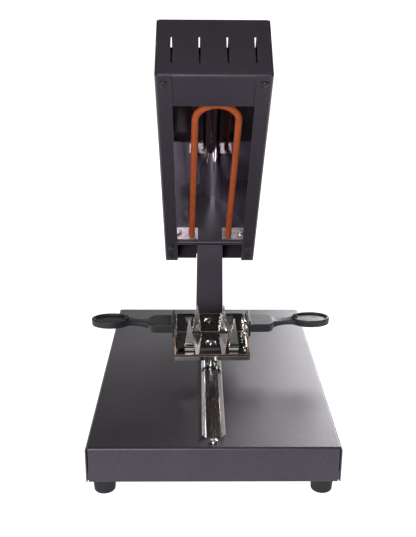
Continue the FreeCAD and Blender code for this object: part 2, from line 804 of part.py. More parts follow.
def stud():
    """Turned stud between the glide foot and the tray, with a flange and the shoulder it swivels on."""
    low = base_top + polish + running + 1.25
    under = floor_z - 2 * sheet - gap / 3
    shank = rod(V(0, tray_y, low), Z_AXIS, stud_radius, under - low)
    flange = rod(V(0, tray_y, under - 3), Z_AXIS, 9.0, 3)
    cone = Part.makeCone(stud_radius, 6.0, 5.0, V(0, tray_y, under - 8), Z_AXIS)
    shoulder = rod(V(0, tray_y, under), Z_AXIS, shoulder_radius, 2 * sheet + 2 * gap / 3)
    body = fuse([shank, cone, flange, shoulder])
    return body.cut(rod(V(0, tray_y, floor_z - 12), Z_AXIS, 2.0 + running, 20))


def make_carriage():
    save(glide_foot(), "glide_foot")
    save(stud(), "stud")
    seat = floor_z + gap / 3
    save(pan_screw(V(0, tray_y, seat), Z_AXIS, 6.5, 2.2, 2.0, 9), "pivot_screw")


# ---------------------------------------------------------------- tray
def spike(x, y, facing):
    """Triangle cut from the floor and bent up; facing is +1 when its hole lies behind it."""
    low = floor_z - sheet
    foot_y = y - facing * (spike_bend + sheet + 1.0)
    path = [V(x - spike_base / 2, foot_y, low), V(x - spike_base / 2, y, low),
            V(x - spike_base / 2, y, floor_z + spike_height)]
    blade = fold(path, sheet * facing, spike_bend, V(spike_base, 0, 0))
    start = floor_z + spike_bend
    triangle = [V(x - spike_base / 2, y - 20, low - 1), V(x + spike_base / 2, y - 20, low - 1),
                V(x + spike_base / 2, y - 20, start), V(x + 0.5, y - 20, floor_z + spike_height),
                V(x - 0.5, y - 20, floor_z + spike_height), V(x - spike_base / 2, y - 20, start)]
    return blade.common(slab(triangle, V(0, 40, 0)))


def spike_hole(x, y, facing):
    """Triangular opening that the spike was cut from."""
    far = y + facing * (spike_height - spike_bend - sheet)
    near = y - facing * (spike_bend + sheet)
    half = spike_base / 2 + 0.15
    points = [V(x - half, near, floor_z - 5), V(x - half, y, floor_z - 5), V(x - 0.6, far, floor_z - 5),
              V(x + 0.6, far, floor_z - 5), V(x + half, y, floor_z - 5), V(x + half, near, floor_z - 5)]
    return slab(points, V(0, 0, 10))


def spike_places():
    """X, Y and facing of the four spikes, from the swivel axis."""
    return [(-front_spike_x, front_spike_y, 1), (front_spike_x, front_spike_y, 1),
            (-rear_spike_x, rear_spike_y, -1), (rear_spike_x, rear_spike_y, -1)]


def cheese_plate():
    """Floor of the tray: rear edge turned up and four spikes bent out of it."""
    half = tray_width / 2
    path = [V(-half, tray_front, floor_z), V(-half, tray_back, floor_z),
            V(-half, tray_back, floor_z + rear_turn_up)]
    plate = fold(path, -sheet, 1.0, V(tray_width, 0, 0))
    inner = half - sheet - 1.0 - gap / 3
    for sign in (-1, 1):
        x0 = sign * inner
        x1 = sign * (half + 1)
        plate = plate.cut(box(min(x0, x1), max(x0, x1), cradle_front - 1, tray_back + 5, floor_z - 5,
                              floor_z + 20))
    for x, y, facing in spike_places():
        plate = plate.cut(spike_hole(x, y, facing))
    plate = fuse([plate] + [spike(x, y, facing) for x, y, facing in spike_places()])
    return plate.cut(rod(V(0, 0, floor_z - 5), Z_AXIS, shoulder_radius + running, 10))


def cradle():
    """Folded carrier under the cheese plate: bottom with a front lip, two side walls and a back wall."""
    half = tray_width / 2
    low = floor_z - 2 * sheet
    top = floor_z + cradle_rise
    sides = [V(-half, cradle_front, top), V(-half, cradle_front, low), V(half, cradle_front, low),
             V(half, cradle_front, top)]
    body = fold(sides, -sheet, 1.0, V(0, cradle_back - cradle_front, 0))
    back_half = half - 2 * sheet
    body = body.cut(box(-half - 1, -back_half, cradle_back - 1.2, cradle_back + 1, low - 1, top + 1))
    body = body.cut(box(back_half, half + 1, cradle_back - 1.2, cradle_back + 1, low - 1, top + 1))
    back_path = [V(-back_half, cradle_back - 6, low), V(-back_half, cradle_back, low),
                 V(-back_half, cradle_back, top)]
    back = fold(back_path, sheet, 1.0, V(2 * back_half, 0, 0))
    body = body.cut(box(-half - 1, half + 1, cradle_back - 2.5, cradle_back + 1, low - 1, low + sheet + 0.01))
    front = tray_front + 0.6
    front_path = [V(-half, front, floor_z - lip_drop), V(-half, front, low + sheet),
                  V(-half, cradle_front + 1, low + sheet)]
    apron = fold(front_path, -sheet, 1.0, V(tray_width, 0, 0))
    apron = apron.cut(box(-half - 1, -half + 2.5, cradle_front - 0.3, cradle_front + 2, low - 1, low + 3))
    apron = apron.cut(box(half - 2.5, half + 1, cradle_front - 0.3, cradle_front + 2, low - 1, low + 3))
    body = fuse([body, back, apron])
    for x, y, facing in spike_places():
        opening = spike_hole(x, y, facing)
        opening.translate(V(0, 0, -sheet))
        body = body.cut(opening)
    for sign in (-1, 1):
        for y in handle_screw_places():
            body = body.cut(rod(V(sign * (half - 5), y, handle_screw_z()), V(sign, 0, 0), 2.1, 10))
    return body.cut(rod(V(0, 0, floor_z - 6), Z_AXIS, shoulder_radius + running, 12))


def handle_screw_places():
    """Two screws per handle, on either side of its middle."""
    return (handle_y - 11, handle_y + 11)


def handle_screw_z():
    """Height of the handle screws."""
    return floor_z + 21.0


def handle():
    """Moulded handle: flange on the cradle, block, neck and a dished oval end."""
    start = tray_width / 2
    z = floor_z + 22.0
    flange = box(start, start + 3, handle_y - flange_length / 2, handle_y + flange_length / 2,
                 z - flange_low, z + flange_high)
    flange = flange.makeFillet(1.2, [e for e in flange.Edges if e.BoundBox.XMin > start + 2.9])
    half = block_width / 2
    block_end = start + 3 + block_length
    outline = [V(start + 2, handle_y - half, z - 5.5), V(block_end - 6, handle_y - half, z - 5.5),
               V(block_end, handle_y - 9, z - 5.5), V(block_end, handle_y + 9, z - 5.5),
               V(block_end - 6, handle_y + half, z - 5.5), V(start + 2, handle_y + half, z - 5.5)]
    block = Part.Face(rounded_wire(outline, [0, 4.0, 3.0, 3.0, 4.0, 0])).extrude(V(0, 0, 11))
    oval_x = handle_reach - oval_length / 2
    neck_end = oval_x - oval_length / 2 + 4
    neck_path = [V(block_end - 4, handle_y - 7, z - 2), V(block_end + 8, handle_y - 7, z - 1.5),
                 V(neck_end, handle_y - 7, z + 1.0), V(neck_end, handle_y - 7, z + 7.0),
                 V(block_end + 8, handle_y - 7, z + 4.5), V(block_end - 4, handle_y - 7, z + 4.5)]
    neck = Part.Face(rounded_wire(neck_path, [0, 10, 0, 0, 10, 0])).extrude(V(0, 14, 0))
    oval = elliptic(oval_x, z - 0.4, oval_length / 2, oval_width / 2, oval_height)
    dish_floor = z - 0.4 + oval_height - dish_depth
    dish = elliptic(oval_x, dish_floor, oval_length / 2 - 4, oval_width / 2 - 4, dish_depth + 1)
    nub = Part.makeCone(3.0, 0.8, 5.0, V(neck_end + 1, handle_y, z + 6.5), Z_AXIS)
    body = fuse([flange, block, neck, oval.cut(dish), nub])
    for y in handle_screw_places():
        body = body.cut(rod(V(start - 1, y, handle_screw_z()), X_AXIS, 2.0 + running, 14))
    return body


def elliptic(x, z, major, minor, height):
    """Upright elliptic cylinder."""
    curve = Part.Ellipse(V(x + major, handle_y, z), V(x, handle_y + minor, z), V(x, handle_y, z))
    return Part.Face(Part.Wire([curve.toShape()])).extrude(V(0, 0, height))


def make_tray():
    save_tray(cheese_plate(), "cheese_plate")
    save_tray(cradle(), "tray_cradle")
    right = handle()
    save_tray(mirrored(right), "handle_left")
    save_tray(right, "handle_right")
    screws = []
    inner = tray_width / 2 - sheet
    for sign in (-1, 1):
        for y in handle_screw_places():
            screws.append(pan_screw(V(sign * inner, y, handle_screw_z()), V(-sign, 0, 0), 3.6, 2.0, 2.0, 12))
    save_tray(screws, "handle_screws")


os.makedirs("parts", exist_ok=True)
make_base()
make_head()
make_carriage()
make_tray()
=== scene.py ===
import json
import math

import bmesh
import bpy
from bpy.props import FloatProperty, FloatVectorProperty, PointerProperty
from mathutils import Matrix, Vector


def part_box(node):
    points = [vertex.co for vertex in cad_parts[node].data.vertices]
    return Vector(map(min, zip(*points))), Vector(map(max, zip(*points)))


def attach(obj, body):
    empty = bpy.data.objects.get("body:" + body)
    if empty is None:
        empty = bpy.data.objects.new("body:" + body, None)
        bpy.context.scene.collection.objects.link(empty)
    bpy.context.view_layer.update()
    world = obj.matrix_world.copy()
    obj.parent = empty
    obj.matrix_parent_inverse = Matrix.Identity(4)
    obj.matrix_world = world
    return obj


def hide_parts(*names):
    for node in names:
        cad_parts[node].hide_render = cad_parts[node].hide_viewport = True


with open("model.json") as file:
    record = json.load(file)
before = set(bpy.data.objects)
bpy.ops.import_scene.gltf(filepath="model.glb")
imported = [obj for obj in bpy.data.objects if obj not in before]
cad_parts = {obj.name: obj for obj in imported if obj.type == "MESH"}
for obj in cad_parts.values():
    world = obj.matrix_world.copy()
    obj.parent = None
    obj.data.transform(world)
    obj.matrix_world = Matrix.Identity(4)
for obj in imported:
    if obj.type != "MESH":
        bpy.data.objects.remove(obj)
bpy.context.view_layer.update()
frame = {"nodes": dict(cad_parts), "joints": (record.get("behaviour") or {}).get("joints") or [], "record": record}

bl_info = {
    "name": "Raclette Melter",
    "version": (1, 0, 0),
    "blender": (4, 5, 0),
    "location": "View3D > Sidebar > Melter",
    "description": "Finishes, moulded handles, screws and studio of a raclette cheese melter",
    "category": "Object",
}

MM = 0.001

JOINTS = {joint["name"]: joint for joint in frame["joints"]}
BODY_OF = {
    node: body for body, nodes in frame["record"]["behaviour"]["bodies"].items() for node in nodes
}

# Directions of the leaning head: out of its back, and along it towards its upper end.
HEAD_BACK = Vector(JOINTS["switch_rock"]["axis"]).normalized()
HEAD_UP = Vector((0.0, -HEAD_BACK.z, HEAD_BACK.y))
HEAD_LEAN = math.atan2(HEAD_BACK.y, HEAD_BACK.z)

TRAY_AXIS = Vector(JOINTS["tray_swivel"]["pos_m"])
TRAY_YAW = math.radians(1.2)
SHEET = 1.5 * MM
SPIKE_TOP = 41.0 * MM      # tips of the spikes over the tray floor
TRAY_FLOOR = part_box("cheese_plate")[1].z - SPIKE_TOP


# ---------------------------------------------------------------- settings
def colour(name, description, default):
    """A colour that a user may change, as linear red, green and blue."""
    return FloatVectorProperty(
        name=name, description=description, default=default, subtype="COLOR", size=3, min=0.0, max=1.0
    )


def length(name, description, millimetres):
    """A length that a user may change."""
    return FloatProperty(
        name=name, description=description, default=millimetres * MM, min=0.0, unit="LENGTH", precision=5
    )


def share(name, description, default):
    """A number from nothing to all."""
    return FloatProperty(
        name=name, description=description, default=default, min=0.0, max=1.0, subtype="FACTOR"
    )


class MelterCoating(bpy.types.PropertyGroup):
    """Powder coat of the folded steel."""

    tone: colour("Coat", "Colour of the powder coat", (0.0165, 0.0138, 0.0180))
    tone_light: colour("Thin coat", "Colour where the coat lies thinner", (0.0215, 0.0178, 0.0235))
    # The edge colour and the edge width set a painted highlight along the folds and edges of the coat, standing in
    # for their lit highlights.
    edge_highlight_tone: colour("Rubbed edge", "Colour of the coat along rubbed edges", (0.105, 0.094, 0.112))
    grain: length("Grain", "Size of the grain in the coat", 1.1)
    grain_depth: length("Grain depth", "Height of the grain", 0.09)
    peel: length("Orange peel", "Size of the slow waves in the coat", 3.2)
    gloss: share("Roughness", "Middle roughness of the coat", 0.42)
    edge_width: length("Edge width", "Width of the rubbed line along the edges", 0.7)


class MelterMetals(bpy.types.PropertyGroup):
    """Bare metals."""

    tray_steel: colour("Tray steel", "Polished stainless steel of the tray", (0.60, 0.575, 0.56))
    rail_steel: colour("Rail steel", "Polished stainless steel of the rail", (0.30, 0.285, 0.285))
    cut_edge: colour("Cut edge", "Browned cut edges of the tray", (0.24, 0.165, 0.125))
    mirror: colour("Mirror sheet", "Bright sheet of the reflector", (0.66, 0.635, 0.67))
    zinc: colour("Zinc", "Zinc on the small plates", (0.56, 0.50, 0.52))
    zinc_dull: colour("Dull zinc", "Clouded patches of the zinc", (0.36, 0.32, 0.34))
    screw: colour("Bright screw", "Bright zinc on the screws", (0.80, 0.79, 0.76))
    black_screw: colour("Black screw", "Blackened screws", (0.0065, 0.0062, 0.0070))
    inner: colour("Inner steel", "Plain steel of the hinge and inner parts", (0.36, 0.355, 0.36))


class MelterMouldings(bpy.types.PropertyGroup):
    """Plastic, rubber, ceramic and the heated tube."""

    handle: colour("Handle", "Plastic of the handles", (0.0105, 0.0098, 0.0125))
    handle_worn: colour("Handle, worn", "Plastic where hands have rubbed it", (0.034, 0.031, 0.035))
    rubber: colour("Rubber", "Rubber of the feet", (0.0085, 0.0078, 0.0105))
    switch: colour("Switch", "Plastic of the switch and gland", (0.0085, 0.0085, 0.0095))
    ceramic: colour("Ceramic", "Glazed ceramic", (0.74, 0.70, 0.61))
    tube: colour("Tube", "Heat stained tube", (0.355, 0.064, 0.0135))
    tube_dark: colour("Tube, dark", "Darker clouds on the tube", (0.255, 0.044, 0.0095))
    tube_pale: colour("Tube, pale", "Paler clouds on the tube", (0.440, 0.092, 0.0215))


class MelterHandle(bpy.types.PropertyGroup):
    """Moulded handles."""

    reach: length("Reach", "Tray middle to the handle's outer end", 156.2)
    middle: length("Middle", "Handle's middle behind the swivel axis", 12.5)
    lift: length("Lift", "Handle's middle over the tray floor", 22.0)
    oval_length: length("Oval length", "Length of the oval end", 50.0)
    oval_width: length("Oval width", "Width of the oval end", 34.0)
    rim: length("Rim", "Width of the rim round the dish", 3.3)
    voxel: length("Moulding step", "Size of the steps that blend the handle's parts", 0.45)


class MelterStudio(bpy.types.PropertyGroup):
    """Floor, lamps and camera."""

    floor_size: FloatProperty(
        name="Floor", description="Side of the floor", default=8.0, min=1.0, unit="LENGTH"
    )
    wall_height: FloatProperty(
        name="Upstand", description="Height to which the floor turns up behind", default=1.7, min=0.0,
        unit="LENGTH",
    )
    floor_glow: FloatProperty(
        name="Floor glow", description="Light given off by the floor", default=0.95, min=0.0
    )
    room: FloatProperty(name="Room", description="Light of the room itself", default=0.035, min=0.0)
    front_power: FloatProperty(
        name="Front lamp", description="Power of the front soft box", default=50.0, min=0.0, unit="POWER"
    )
    back_power: FloatProperty(
        name="Back lamp", description="Power of the soft box behind, on the right", default=56.0, min=0.0,
        unit="POWER",
    )
    side_power: FloatProperty(
        name="Side lamps", description="Power of each side soft box", default=0.5, min=0.0, unit="POWER"
    )
    top_power: FloatProperty(
        name="Top lamp", description="Power of the soft box overhead", default=2.5, min=0.0, unit="POWER"
    )
    lens: FloatProperty(
        name="Lens", description="Focal length", default=52.39, min=1.0, unit="CAMERA"
    )
    station: FloatVectorProperty(
        name="Camera", description="Place of the camera", default=(-0.0181, -0.9682, 0.5168),
        subtype="TRANSLATION", unit="LENGTH", size=3,
    )
    pitch: FloatProperty(
        name="Pitch", description="How far the camera looks down", default=math.radians(18.62),
        unit="ROTATION",
    )
    yaw: FloatProperty(
        name="Yaw", description="How far the camera looks to the right", default=math.radians(0.81),
        unit="ROTATION",
    )
    roll: FloatProperty(
        name="Roll", description="Lean of the camera", default=math.radians(0.34), unit="ROTATION"
    )


# ---------------------------------------------------------------- finishes
def shade(tone, share_of_it):
    """A colour made darker or lighter."""
    return tuple(part * share_of_it for part in tone)


class Finish:
    """A material and the pattern nodes that feed its shader."""

    def __init__(self, name):
        """Start a material of that name."""
        self.material = bpy.data.materials.new(name)
        self.material.use_nodes = True
        self.tree = self.material.node_tree
        self.shader = self.tree.nodes["Principled BSDF"]
        self.place = self.add("ShaderNodeTexCoord")

    def add(self, kind, **values):
        """A node, with the given inputs set or joined."""
        node = self.tree.nodes.new(kind)
        for name, value in values.items():
            self.feed(node.inputs[name.replace("_", " ")], value)
        return node

    def feed(self, socket, value):
        """Join an output to an input, or set the input."""
        if isinstance(value, bpy.types.NodeSocket):
            self.tree.links.new(value, socket)
        else:
            socket.default_value = value

    def set(self, name, value):
        """Feed an input of the shader."""
        self.feed(self.shader.inputs[name], value)

    def spot(self, stretch=(1.0, 1.0, 1.0), turn=(0.0, 0.0, 0.0)):
        """Place on the piece, turned and then stretched."""
        turned = self.add("ShaderNodeMapping", Vector=self.place.outputs["Object"], Rotation=turn)
        return self.add("ShaderNodeMapping", Vector=turned.outputs[0], Scale=stretch).outputs[0]

    def noise(self, size, detail=3.0, rough=0.55, stretch=(1.0, 1.0, 1.0), turn=(0.0, 0.0, 0.0)):
        """Clouds of about that size, in metres."""
        node = self.add(
            "ShaderNodeTexNoise", Vector=self.spot(stretch, turn), Scale=1.0 / size, Detail=detail,
            Roughness=rough,
        )
        return node.outputs[0]

    def cells(self, size):
        """Distance from the middle of cells of that size."""
        node = self.add("ShaderNodeTexVoronoi", Vector=self.spot(), Scale=1.0 / size)
        return node.outputs["Distance"]

    def scale(self, value, low, high, to_low=0.0, to_high=1.0):
        """Move a range of numbers onto another, held at its ends."""
        node = self.add("ShaderNodeMapRange", Value=value)
        node.inputs["From Min"].default_value = low
        node.inputs["From Max"].default_value = high
        node.inputs["To Min"].default_value = to_low
        node.inputs["To Max"].default_value = to_high
        return node.outputs[0]

    def sum(self, first, second, way="ADD"):
        """Two numbers put together."""
        node = self.add("ShaderNodeMath")
        node.operation = way
        self.feed(node.inputs[0], first)
        self.feed(node.inputs[1], second)
        return node.outputs[0]

    def blend(self, share_of_second, first, second, way="MIX"):
        """Two colours put together."""
        node = self.add("ShaderNodeMix")
        node.data_type = "RGBA"
        node.blend_type = way
        self.feed(node.inputs["Factor"], share_of_second)
        self.feed(node.inputs[6], first if not isinstance(first, tuple) else (*first, 1.0))
        self.feed(node.inputs[7], second if not isinstance(second, tuple) else (*second, 1.0))
        return node.outputs[2]

    def edges(self, width, sharp=0.12):
        """One along the edges of the piece, nothing on its faces."""
        rounded = self.add("ShaderNodeBevel", Radius=width)
        rounded.samples = 6
        facing = self.add("ShaderNodeNewGeometry")
        node = self.add("ShaderNodeVectorMath")
        node.operation = "DOT_PRODUCT"
        self.feed(node.inputs[0], rounded.outputs[0])
        self.feed(node.inputs[1], facing.outputs["Normal"])
        return self.scale(node.outputs["Value"], 0.995, 1.0 - sharp)

    def relief(self, *layers):
        """Bumps on bumps: each layer is (height, depth in metres, strength)."""
        under = None
        for height, depth, strength in layers:
            node = self.add("ShaderNodeBump", Height=height, Strength=strength, Distance=depth)
            if under is not None:
                self.feed(node.inputs["Normal"], under)
            under = node.outputs[0]
        self.set("Normal", under)


def powder_coat(coat):
    """Satin powder coat with a fine grain, a slow orange peel, a few specks and a painted highlight laid in
    patches along its edges.
    """
    finish = Finish("powder_coat")
    clouds = finish.noise(0.055, detail=2.0)
    grain = finish.noise(coat.grain, detail=2.0, rough=0.6)
    fine = finish.noise(coat.grain * 0.36, detail=1.0)
    peel = finish.noise(coat.peel, detail=1.0)
    base = finish.blend(finish.scale(clouds, 0.35, 0.65), tuple(coat.tone), tuple(coat.tone_light))
    base = finish.blend(
        finish.scale(grain, 0.42, 0.72, 0.0, 0.8), base, shade(coat.tone_light, 1.9)
    )
    specks = finish.scale(finish.cells(0.021), 0.0230, 0.0165)
    base = finish.blend(finish.sum(specks, 0.55, "MULTIPLY"), base, (0.30, 0.28, 0.29))
    patches = finish.noise(0.012, detail=3.0)
    # Painted highlight: the coat is lightened towards the edge colour in patches along its edges and folds.
    rubbed = finish.sum(
        finish.edges(coat.edge_width), finish.scale(patches, 0.30, 0.62, 0.25, 1.0), "MULTIPLY"
    )
    finish.set("Base Color", finish.blend(rubbed, base, tuple(coat.edge_highlight_tone)))
    finish.set("Roughness", finish.scale(grain, 0.3, 0.7, coat.gloss - 0.07, coat.gloss + 0.09))
    finish.set("Specular IOR Level", 0.55)
    finish.set("Specular Tint", (1.0, 0.88, 1.06, 1.0))
    finish.relief((peel, 0.00022, 0.35), (grain, coat.grain_depth, 0.75), (fine, coat.grain_depth * 0.4, 0.6))
    return finish.material


def scratched(finish, run, turn=(0.0, 0.0, 0.0)):
    """Fine scratches along an axis of the piece (0, 1 or 2), from none to deep."""
    thin = [1.0, 1.0, 1.0]
    thin[run] = 0.02
    wide = [1.0, 1.0, 1.0]
    wide[run] = 0.05
    fine = finish.noise(0.00045, detail=2.0, rough=0.7, stretch=tuple(thin), turn=turn)
    broad = finish.noise(0.0024, detail=3.0, rough=0.6, stretch=tuple(wide), turn=turn)
    return fine, broad


def tray_steel(metals, name, tint_low, tint_high, tint_back, brushed_back):
    """Mirror polished sheet with handling marks; its cut edges that face the front are browned."""
    finish = Finish(name)
    fine, broad = scratched(finish, 0)
    smears = finish.noise(0.016, detail=4.0, rough=0.65)
    base = finish.blend(
        finish.scale(smears, 0.3, 0.7), tuple(metals.tray_steel), shade(metals.tray_steel, 0.80)
    )
    base = finish.blend(
        finish.scale(broad, 0.5, 0.8, 0.0, 0.35), base, shade(metals.tray_steel, 0.55)
    )
    facing = finish.add("ShaderNodeSeparateXYZ", Vector=finish.place.outputs["Normal"])
    spot = finish.add("ShaderNodeSeparateXYZ", Vector=finish.place.outputs["Object"])
    front = finish.scale(facing.outputs["Y"], -0.80, -0.95)
    above = finish.scale(spot.outputs["Z"], tint_low, tint_low + 0.2 * MM)
    below = finish.scale(spot.outputs["Z"], tint_high + 0.2 * MM, tint_high)
    ahead = finish.scale(spot.outputs["Y"], tint_back + 0.2 * MM, tint_back)
    level = finish.sum(above, below, "MULTIPLY")
    cut = finish.sum(finish.sum(front, ahead, "MULTIPLY"), level, "MULTIPLY")
    patchy = finish.sum(cut, finish.scale(smears, 0.25, 0.5, 0.7, 1.0), "MULTIPLY")
    finish.set("Base Color", finish.blend(patchy, base, tuple(metals.cut_edge)))
    polish = finish.scale(finish.sum(smears, finish.sum(fine, 0.5, "MULTIPLY")), 0.5, 1.05, 0.03, 0.10)
    raised = finish.scale(spot.outputs["Z"], TRAY_FLOOR + 4.0 * MM, TRAY_FLOOR + 7.0 * MM)
    spike = finish.scale(spot.outputs["Y"], brushed_back + 0.5 * MM, brushed_back)
    brushed = finish.sum(finish.sum(raised, spike, "MULTIPLY"), 0.16, "MULTIPLY")
    finish.set("Roughness", finish.sum(finish.sum(polish, brushed), finish.sum(cut, 0.3, "MULTIPLY")))
    finish.set("Metallic", 1.0)
    finish.relief((broad, 0.000004, 0.15), (fine, 0.000002, 0.3), (smears, 0.00005, 0.08))
    return finish.material


def rail_steel(metals):
    """Polished sheet drawn lengthways by the sliding foot, with dark streaks."""
    finish = Finish("polished_steel_rail")
    fine, broad = scratched(finish, 1)
    streaks = finish.noise(0.0016, detail=2.0, rough=0.7, stretch=(1.0, 0.012, 1.0))
    base = finish.blend(
        finish.scale(streaks, 0.38, 0.66), shade(metals.rail_steel, 0.50), tuple(metals.rail_steel)
    )
    base = finish.blend(
        finish.scale(broad, 0.52, 0.74, 0.0, 0.6), base, shade(metals.rail_steel, 0.45)
    )
    finish.set("Base Color", base)
    finish.set("Roughness", finish.scale(finish.sum(fine, broad), 0.75, 1.25, 0.16, 0.30))
    finish.set("Metallic", 1.0)
    finish.relief((broad, 0.000008, 0.3), (fine, 0.000004, 0.3))
    return finish.material


def turned_steel(metals):
    """Bright turned bar with fine rings."""
    finish = Finish("turned_steel")
    rings = finish.noise(0.0005, detail=1.0, stretch=(0.04, 0.04, 1.0))
    smears = finish.noise(0.005, detail=3.0)
    finish.set(
        "Base Color",
        finish.blend(smears, tuple(metals.tray_steel), shade(metals.tray_steel, 0.75)),
    )
    finish.set("Roughness", finish.scale(rings, 0.3, 0.7, 0.14, 0.30))
    finish.set("Metallic", 1.0)
    finish.relief((rings, 0.00003, 0.5))
    return finish.material


def mirror_sheet(metals):
    """Bright rolled sheet: nearly a mirror, with faint waves and streaks along the trough."""
    finish = Finish("mirror_sheet")
    turn = (HEAD_LEAN, 0.0, 0.0)
    streaks = finish.noise(0.0013, detail=3.0, rough=0.6, stretch=(1.0, 0.012, 1.0), turn=turn)
    waves = finish.noise(0.014, detail=1.0, stretch=(1.0, 0.05, 1.0), turn=turn)
    haze = finish.noise(0.03, detail=3.0)
    base = finish.blend(
        finish.scale(streaks, 0.46, 0.60, 0.0, 0.8), tuple(metals.mirror), shade(metals.mirror, 0.45)
    )
    facing = finish.add("ShaderNodeVectorMath")
    facing.operation = "DOT_PRODUCT"
    finish.feed(facing.inputs[0], finish.place.outputs["Normal"])
    finish.feed(facing.inputs[1], tuple(HEAD_UP))
    outer = finish.scale(facing.outputs["Value"], 0.5, 0.9)
    finish.set("Base Color", finish.blend(outer, base, shade(metals.inner, 0.35)))
    polish = finish.scale(finish.sum(haze, streaks), 0.7, 1.3, 0.02, 0.07)
    finish.set("Roughness", finish.sum(polish, finish.sum(outer, 0.45, "MULTIPLY")))
    finish.set("Metallic", 1.0)
    finish.relief((waves, 0.0005, 0.10), (streaks, 0.00001, 0.2))
    return finish.material


def zinc_plate(metals):
    """Small stamped plates with clouded zinc."""
    finish = Finish("zinc_plate")
    clouds = finish.noise(0.0045, detail=3.0, rough=0.6)
    grain = finish.noise(0.0006, detail=2.0)
    worn = finish.edges(0.35 * MM)
    base = finish.blend(finish.scale(clouds, 0.35, 0.65), tuple(metals.zinc_dull), tuple(metals.zinc))
    finish.set("Base Color", finish.blend(worn, base, (0.72, 0.70, 0.70)))
    finish.set("Roughness", finish.scale(clouds, 0.3, 0.7, 0.30, 0.50))
    finish.set("Metallic", 1.0)
    finish.relief((clouds, 0.0001, 0.4), (grain, 0.00003, 0.4))
    return finish.material


def bright_screw(metals):
    """Bright zinc on cold-formed heads."""
    finish = Finish("bright_screw")
    spots = finish.noise(0.0014, detail=3.0)
    deep = finish.edges(0.25 * MM)
    base = finish.blend(
        finish.scale(spots, 0.45, 0.75), tuple(metals.screw), shade(metals.screw, 0.62)
    )
    finish.set("Base Color", finish.blend(deep, base, (0.9, 0.9, 0.88)))
    finish.set("Roughness", finish.scale(spots, 0.3, 0.7, 0.16, 0.34))
    finish.set("Metallic", 1.0)
    finish.relief((spots, 0.00004, 0.5))
    return finish.material


def black_screw(metals):
    """Blackened heads, rubbed bare here and there along the edges."""
    finish = Finish("dark_screw")
    spots = finish.noise(0.0020, detail=3.0)
    grain = finish.noise(0.0003, detail=2.0)
    rubbed = finish.sum(finish.edges(0.30 * MM), finish.scale(spots, 0.42, 0.66), "MULTIPLY")
    base = finish.blend(spots, tuple(metals.black_screw), shade(metals.black_screw, 1.6))
    finish.set("Base Color", finish.blend(rubbed, base, (0.09, 0.085, 0.095)))
    finish.set("Roughness", finish.scale(spots, 0.3, 0.7, 0.30, 0.46))
    finish.set("Specular IOR Level", 0.6)
    finish.relief((grain, 0.00002, 0.6))
    return finish.material


def inner_steel(metals):
    """Plain rolled steel with a dull skin."""
    finish = Finish("inner_steel")
    fine, broad = scratched(finish, 0)
    clouds = finish.noise(0.009, detail=3.0)
    base = finish.blend(
        finish.scale(clouds, 0.3, 0.7), tuple(metals.inner), shade(metals.inner, 0.55)
    )
    finish.set("Base Color", base)
    finish.set("Roughness", finish.scale(finish.sum(clouds, fine), 0.7, 1.3, 0.32, 0.52))
    finish.set("Metallic", 1.0)
    finish.relief((broad, 0.00004, 0.5), (fine, 0.00002, 0.4))
    return finish.material


def heated_tube(mouldings):
    """Heat stained tube with faint clouds, paler spots and a fine grain."""
    finish = Finish("element")
    clouds = finish.noise(0.011, detail=4.0, rough=0.65)
    spots = finish.noise(0.0022, detail=3.0, rough=0.6)
    grain = finish.noise(0.0005, detail=2.0)
    base = finish.blend(
        finish.scale(clouds, 0.35, 0.68), tuple(mouldings.tube_dark), tuple(mouldings.tube)
    )
    base = finish.blend(finish.scale(spots, 0.48, 0.72, 0.0, 0.7), base, tuple(mouldings.tube_pale))
    finish.set("Base Color", base)
    finish.set("Roughness", finish.scale(spots, 0.3, 0.7, 0.45, 0.65))
    finish.set("Specular IOR Level", 0.25)
    finish.relief((spots, 0.00006, 0.5), (grain, 0.00003, 0.5))
    return finish.material


def handle_plastic(mouldings):
    """Black moulded plastic with a spark-eroded grain, paler where hands have rubbed it."""
    finish = Finish("handle_plastic")
    grain = finish.noise(0.0007, detail=3.0, rough=0.7)
    dust = finish.noise(0.0030, detail=4.0, rough=0.75)
    patches = finish.noise(0.014, detail=3.0)
    worn = finish.sum(
        finish.edges(0.9 * MM, 0.2), finish.scale(patches, 0.35, 0.65, 0.15, 0.8), "MULTIPLY"
    )
    base = finish.blend(
        finish.scale(dust, 0.50, 0.78, 0.0, 0.45), tuple(mouldings.handle), tuple(mouldings.handle_worn)
    )
    finish.set("Base Color", finish.blend(worn, base, tuple(mouldings.handle_worn)))
    finish.set("Roughness", finish.scale(finish.sum(grain, patches), 0.7, 1.3, 0.40, 0.58))
    finish.set("Specular IOR Level", 0.42)
    finish.relief((grain, 0.00008, 0.6), (dust, 0.0001, 0.25))
    return finish.material


def rubber(mouldings):
    """Matte rubber with a dusty bloom."""
    finish = Finish("rubber")
    bloom = finish.noise(0.006, detail=4.0, rough=0.7)
    grain = finish.noise(0.0006, detail=2.0)
    base = finish.blend(
        finish.scale(bloom, 0.4, 0.7), tuple(mouldings.rubber), shade(mouldings.rubber, 2.1)
    )
    finish.set("Base Color", base)
    finish.set("Roughness", finish.scale(bloom, 0.3, 0.7, 0.62, 0.82))
    finish.set("Specular IOR Level", 0.3)
    finish.relief((bloom, 0.0001, 0.3), (grain, 0.00006, 0.6))
    return finish.material


def switch_plastic(mouldings):
    """Glossy black plastic with faint scuffs."""
    finish = Finish("switch_plastic")
    scuffs = finish.noise(0.0030, detail=4.0, rough=0.7, stretch=(1.0, 0.2, 1.0))
    grain = finish.noise(0.0004, detail=2.0)
    base = finish.blend(
        finish.scale(scuffs, 0.55, 0.8, 0.0, 0.6), tuple(mouldings.switch), shade(mouldings.switch, 3.0)
    )
    finish.set("Base Color", base)
    finish.set("Roughness", finish.scale(scuffs, 0.3, 0.7, 0.20, 0.36))
    finish.relief((grain, 0.00002, 0.5))
    return finish.material


